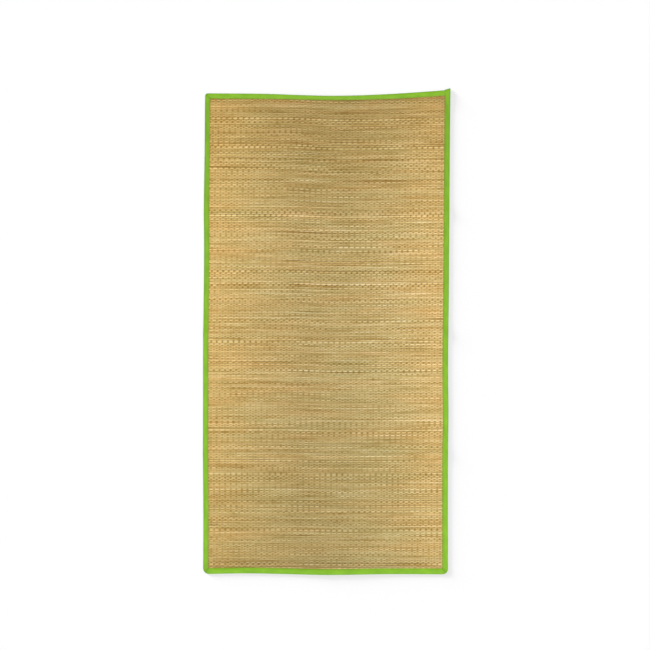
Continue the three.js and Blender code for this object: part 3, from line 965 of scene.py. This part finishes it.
string_material = spun_material("string", 0.85, 0.2, 260.0, 1.5, (178, 148, 92), (214, 183, 122))
thread_material = spun_material("thread", 0.6, 0.3, 500.0, 1.0, (102, 142, 38), (134, 176, 52))
for piece in string_pieces:
    piece.data.materials.append(string_material)
thread.data.materials.append(thread_material)
print("strings and thread are spun:", string_material.name, "and", thread_material.name)

# %% Tape material
tape_material, tree, shader = new_material("tape", 0.6, 0.3)
along_tape, inwards = attribute(tree, "along"), attribute(tree, "inwards")
cloudy = noise(tree, scaled(tree, along_tape, 22.0), scaled(tree, inwards, 1.5), detail=4.0)
tape_colour = ramp(tree, cloudy, [
    (0.3, linear(119, 172, 16)),
    (0.5, linear(127, 182, 23)),
    (0.7, linear(137, 191, 30)),
])
x, y = split(tree, add(tree, "ShaderNodeTexCoord", out="Object"))[:2]
# Painted uneven light: the tape darkens towards the head of the mat.
tape_colour = tint(tree, tape_colour, share_of_span(tree, y, SPAN_ALONG), [
    (0.33, (1.0, 1.0, 1.0, 1)),
    (0.5, (0.98, 0.965, 0.96, 1)),
    (0.75, (0.90, 0.895, 0.90, 1)),
    (0.965, (0.82, 0.80, 0.83, 1)),
    (0.985, (1.0, 0.965, 0.98, 1)),
])
tape_colour = brighten_slantwise(tree, tape_colour, x, y, -0.04, 0.995)
# Across the tape: darker at the outer fold and brightest a little way in, then painted shade, darker and more
# olive, along the seam and the inner edge, where the tape steps down onto the straw.
tape_colour = tint(tree, tape_colour, inwards, [
    (0.0, (0.88, 0.9, 0.85, 1)),
    (0.3, (1.0, 1.0, 1.0, 1)),
    (0.8, (0.97, 0.97, 0.95, 1)),
    (0.9, (0.95, 0.88, 0.78, 1)),
    (1.0, (1.04, 0.94, 0.86, 1)),
])
# Painted shade round each rounded corner, most in the crease behind the tuck.
tape_colour = blend(tree, "MULTIPLY", attribute(tree, "crease"), tape_colour, (0.72, 0.74, 0.7, 1))
tree.links.new(tape_colour, shader.inputs["Base Color"])
rib_point = add(tree, "ShaderNodeCombineXYZ", {"X": along_tape, "Y": scaled(tree, inwards, 0.02)})
rib_sockets = {"Vector": rib_point, "Scale": 330.0, "Distortion": 0.6}
ribs = add(tree, "ShaderNodeTexWave", rib_sockets, bands_direction="X")
bump = add(tree, "ShaderNodeBump", {"Height": ribs, "Strength": 0.35, "Distance": 0.12 * MM})
tree.links.new(bump, shader.inputs["Normal"])
tape.data.materials.append(tape_material)
print("the tape's material has", len(tree.nodes), "nodes")

# %% [markdown]
# ## Floor and light
#
# The mat lies on a white floor, which is a tenth of a millimetre under it so that the two never fall in one
# plane. The main lamp is nearly overhead, a little to the lower right, and with an even white sky it lights a
# level surface about as bright as its colour is written. A low lamp at the upper left draws the long soft
# shadow beside the mat. It would rake the straws too hard, so light linking lets it reach the floor only. The
# floor keeps the shadow, and a little light of its own, seen only by the camera and in reflections, brings
# the rest of it up to white.

# %% Floor
FLOOR_HALF_SIZE = 6.0
FLOOR_GAP = 0.1 * MM
FLOOR_COLOUR = 0.7155
FLOOR_GLOW = 0.06
floor_mesh = bpy.data.meshes.new("ground")
floor_corners = np.array([[-1, -1, 0], [1, -1, 0], [1, 1, 0], [-1, 1, 0]]) * FLOOR_HALF_SIZE
floor_corners = floor_corners - [0, 0, FLOOR_GAP]
floor_mesh.from_pydata(floor_corners.tolist(), [], [(0, 1, 2, 3)])
floor = bpy.data.objects.new("ground", floor_mesh)
bpy.context.scene.collection.objects.link(floor)
floor_material = bpy.data.materials.new("white ground")
floor_material.use_nodes = True
tree = floor_material.node_tree
tree.nodes.clear()


def seen_directly(tree):
    """1 for rays from the camera, in reflections and through glass, and 0 for the light that bounces."""
    path = tree.nodes.new("ShaderNodeLightPath")
    seen = maths(tree, "MAXIMUM", path.outputs["Is Camera Ray"], path.outputs["Is Glossy Ray"])
    return maths(tree, "MAXIMUM", seen, path.outputs["Is Transmission Ray"])


glow = add(tree, "ShaderNodeEmission", {"Strength": scaled(tree, seen_directly(tree), FLOOR_GLOW)})
matt = add(tree, "ShaderNodeBsdfDiffuse", {"Color": (FLOOR_COLOUR, FLOOR_COLOUR, FLOOR_COLOUR, 1)})
ground = add(tree, "ShaderNodeAddShader", {0: matt, 1: glow})
surface = tree.nodes.new("ShaderNodeOutputMaterial")
tree.links.new(ground, surface.inputs["Surface"])
floor_mesh.materials.append(floor_material)
print("the floor is", 2 * FLOOR_HALF_SIZE, "m wide")

# %% Lamps and sky
SKY_LIGHT = 0.45
LAMPS = {
    # name: (direction it shines in, strength, angle in degrees)
    "main_lamp": ((-0.13, 0.25, -1.0), 2.025, 20),
    "low_lamp": ((0.84, -0.62, -0.135), 6.0, 14),
}
for name, (direction, strength, angle) in LAMPS.items():
    data = bpy.data.lights.new(name, "SUN")
    data.energy = strength
    data.angle = np.radians(angle)
    lamp = bpy.data.objects.new(name, data)
    from_above = np.array(direction) / np.linalg.norm(direction)
    turn_x = np.arccos(-from_above[2])
    turn_z = np.arctan2(from_above[1], from_above[0]) - np.pi / 2
    lamp.rotation_euler = (turn_x, 0, turn_z)
    bpy.context.scene.collection.objects.link(lamp)
    if name == "low_lamp":
        ground_only = bpy.data.collections.new("ground only")
        ground_only.objects.link(floor)
        lamp.light_linking.receiver_collection = ground_only
    print(name, "gives a level surface", round(float(-from_above[2] * strength / np.pi), 3))

world = bpy.data.worlds.new("sky")
world.use_nodes = True
tree = world.node_tree
strength = maths(tree, "MULTIPLY_ADD", seen_directly(tree), 1 - SKY_LIGHT, SKY_LIGHT)
background = tree.nodes["Background"]
background.inputs["Color"].default_value = (1, 1, 1, 1)
tree.links.new(strength, background.inputs["Strength"])
bpy.context.scene.world = world
bpy.context.scene.view_settings.view_transform = "Standard"

# %% [markdown]
# ## What each piece stands for
#
# The plain solids stay in the model for weight and contact, and the visible pieces take their place: straws
# and strings for the sheet, tape and thread for the binding.

# %% Pieces and the solids they stand for
for piece, name in zip(straw_pieces, panel_names):
    rows = panel_rows[name]
for piece in straw_pieces + string_pieces:
    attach(piece, "root")
    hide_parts("straw_panel")

for piece in (tape, thread):
    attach(piece, "root")
    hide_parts("edge_binding")
